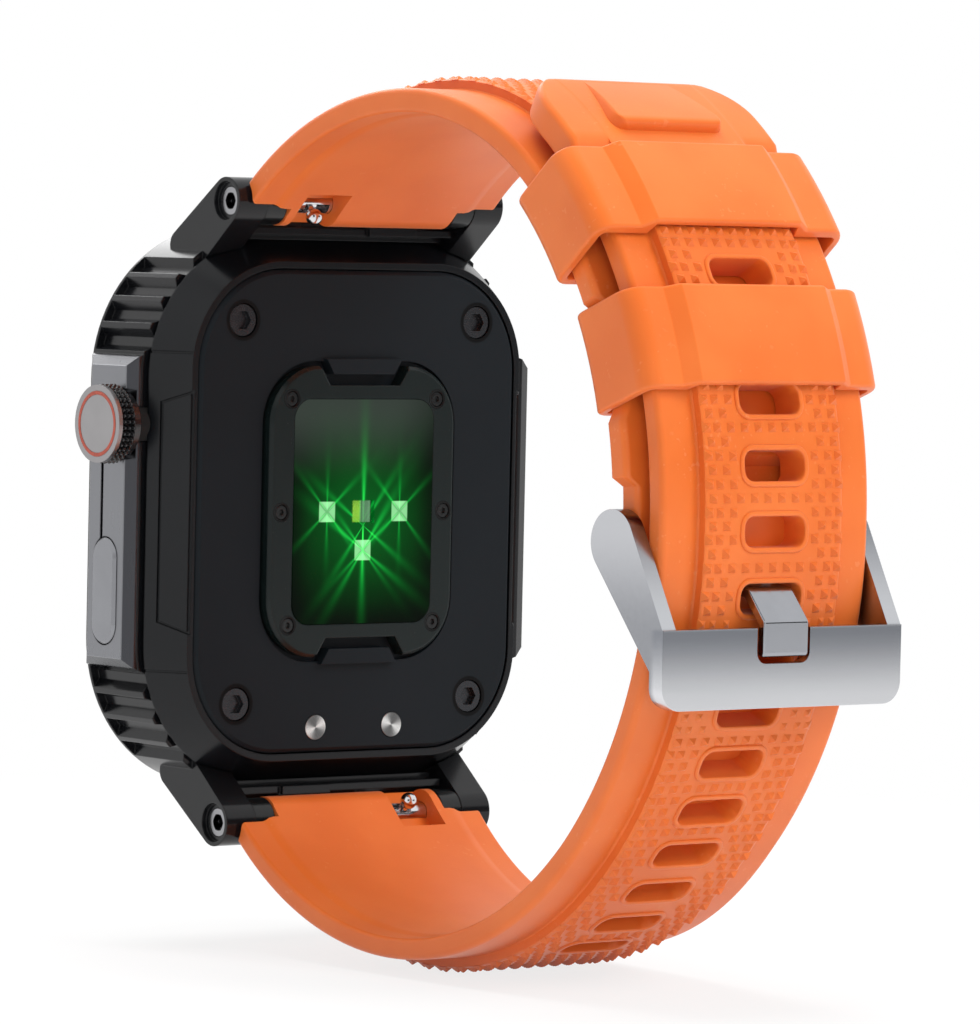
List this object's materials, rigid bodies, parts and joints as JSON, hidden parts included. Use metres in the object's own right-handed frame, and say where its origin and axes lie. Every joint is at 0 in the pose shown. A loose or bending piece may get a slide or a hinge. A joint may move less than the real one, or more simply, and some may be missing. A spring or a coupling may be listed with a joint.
{
  "type": "gps running watch",
  "caption": "Sports watch with a rounded-square case, back pulse sensor, crown, side button and a buckled silicone strap.",
  "frame": {"origin": "centre of the pulse sensor window's outer face, which rests on the wrist", "axes": "+X to the crown side (3 o'clock), +Y out of the case back through the wrist to the buckle, +Z to 12 o'clock; the display faces -Y"},
  "size_m": [0.0453, 0.0689, 0.0732],
  "materials": {
    "strap_silicone": "matte",
    "case_black": "satin",
    "block_gunmetal": "satin",
    "back_plastic": "matte",
    "black_gloss": "gloss",
    "screw_black": "satin",
    "sensor_glass": "gloss",
    "cover_glass": "gloss",
    "circuit_board": "satin",
    "led": "gloss",
    "chip": "gloss",
    "contact_steel": "brushed",
    "seal_rubber": "matte",
    "display": "gloss",
    "battery_foil": "satin",
    "steel": "brushed",
    "polished_steel": "polished",
    "crown_red": "satin",
    "crown_face": "satin",
    "ceramic": "matte",
    "flex": "satin"
  },
  "bodies": {
    "case": {"back_cover": "back_plastic", "back_gasket": "seal_rubber", "back_screws": "screw_black", "sensor_ring": "back_plastic", "ring_screws": "screw_black", "sensor_window": "sensor_glass", "sensor_board": "circuit_board", "sensor_leds": "led", "light_detector": "chip", "charging_pins": "contact_steel", "body_shell": "case_black", "front_frame": "block_gunmetal", "cover_glass": "cover_glass", "display_panel": "display", "glass_seal": "seal_rubber", "inner_frame": "steel", "main_board": "circuit_board", "battery": "battery_foil", "shield_can": "steel", "gps_antenna": "ceramic", "vibration_motor": "steel", "speaker": "black_gloss", "microphone": "steel", "switch_flex": "flex", "crown_tube": "steel", "crown_switch": "black_gloss", "button_seal": "seal_rubber", "button_switch": "black_gloss", "lug_screws": "screw_black", "lug_sleeves": "screw_black", "bar_tube_12": "polished_steel", "bar_tube_6": "polished_steel", "release_spring_12": "steel", "release_spring_6": "steel", "strap_12": "strap_silicone", "strap_6": "strap_silicone", "keeper_fixed": "strap_silicone", "buckle_bar": "steel"},
    "crown_shaft": {"crown_plunger": "black_gloss"},
    "crown": {"crown_knob": "screw_black", "crown_cap": "crown_face", "crown_inlay": "crown_red", "crown_stem": "steel", "crown_o_ring": "seal_rubber"},
    "button": {"side_button": "crown_face"},
    "release_12": {"release_pin_12": "polished_steel"},
    "release_6": {"release_pin_6": "polished_steel"},
    "buckle": {"buckle_frame": "steel"},
    "tongue": {"buckle_tongue": "polished_steel"},
    "loose_keeper": {"keeper_loose": "strap_silicone"}
  },
  "joints": [
    {"name": "crown_press", "type": "slide", "parent": "case", "child": "crown_shaft", "axis": [-1, 0, 0], "range_m": [0, 0.0004], "stiffness_N_per_m": 2500},
    {"name": "crown_turn", "type": "hinge", "parent": "crown_shaft", "child": "crown", "pos_m": [0.02, -0.006, 0.0073], "axis": [1, 0, 0], "continuous": true},
    {"name": "button_press", "type": "slide", "parent": "case", "child": "button", "axis": [-1, 0, 0], "range_m": [0, 0.0004], "stiffness_N_per_m": 2500},
    {"name": "release_slide_12", "type": "slide", "parent": "case", "child": "release_12", "axis": [-1, 0, 0], "range_m": [0, 0.0013], "stiffness_N_per_m": 300},
    {"name": "release_slide_6", "type": "slide", "parent": "case", "child": "release_6", "axis": [1, 0, 0], "range_m": [0, 0.0013], "stiffness_N_per_m": 300},
    {"name": "buckle_swing", "type": "hinge", "parent": "case", "child": "buckle", "pos_m": [0, 0.04874, 0.0001], "axis": [1, 0, 0], "range_deg": [0, 3]},
    {"name": "tongue_lift", "type": "hinge", "parent": "case", "child": "tongue", "pos_m": [0, 0.04874, 0.0001], "axis": [1, 0, 0], "range_deg": [0, 3]},
    {"name": "keeper_slide", "type": "hinge", "parent": "case", "child": "loose_keeper", "pos_m": [0, 0.0137, 0.0021], "axis": [1, 0, 0], "range_deg": [-4, 0]}
  ]
}
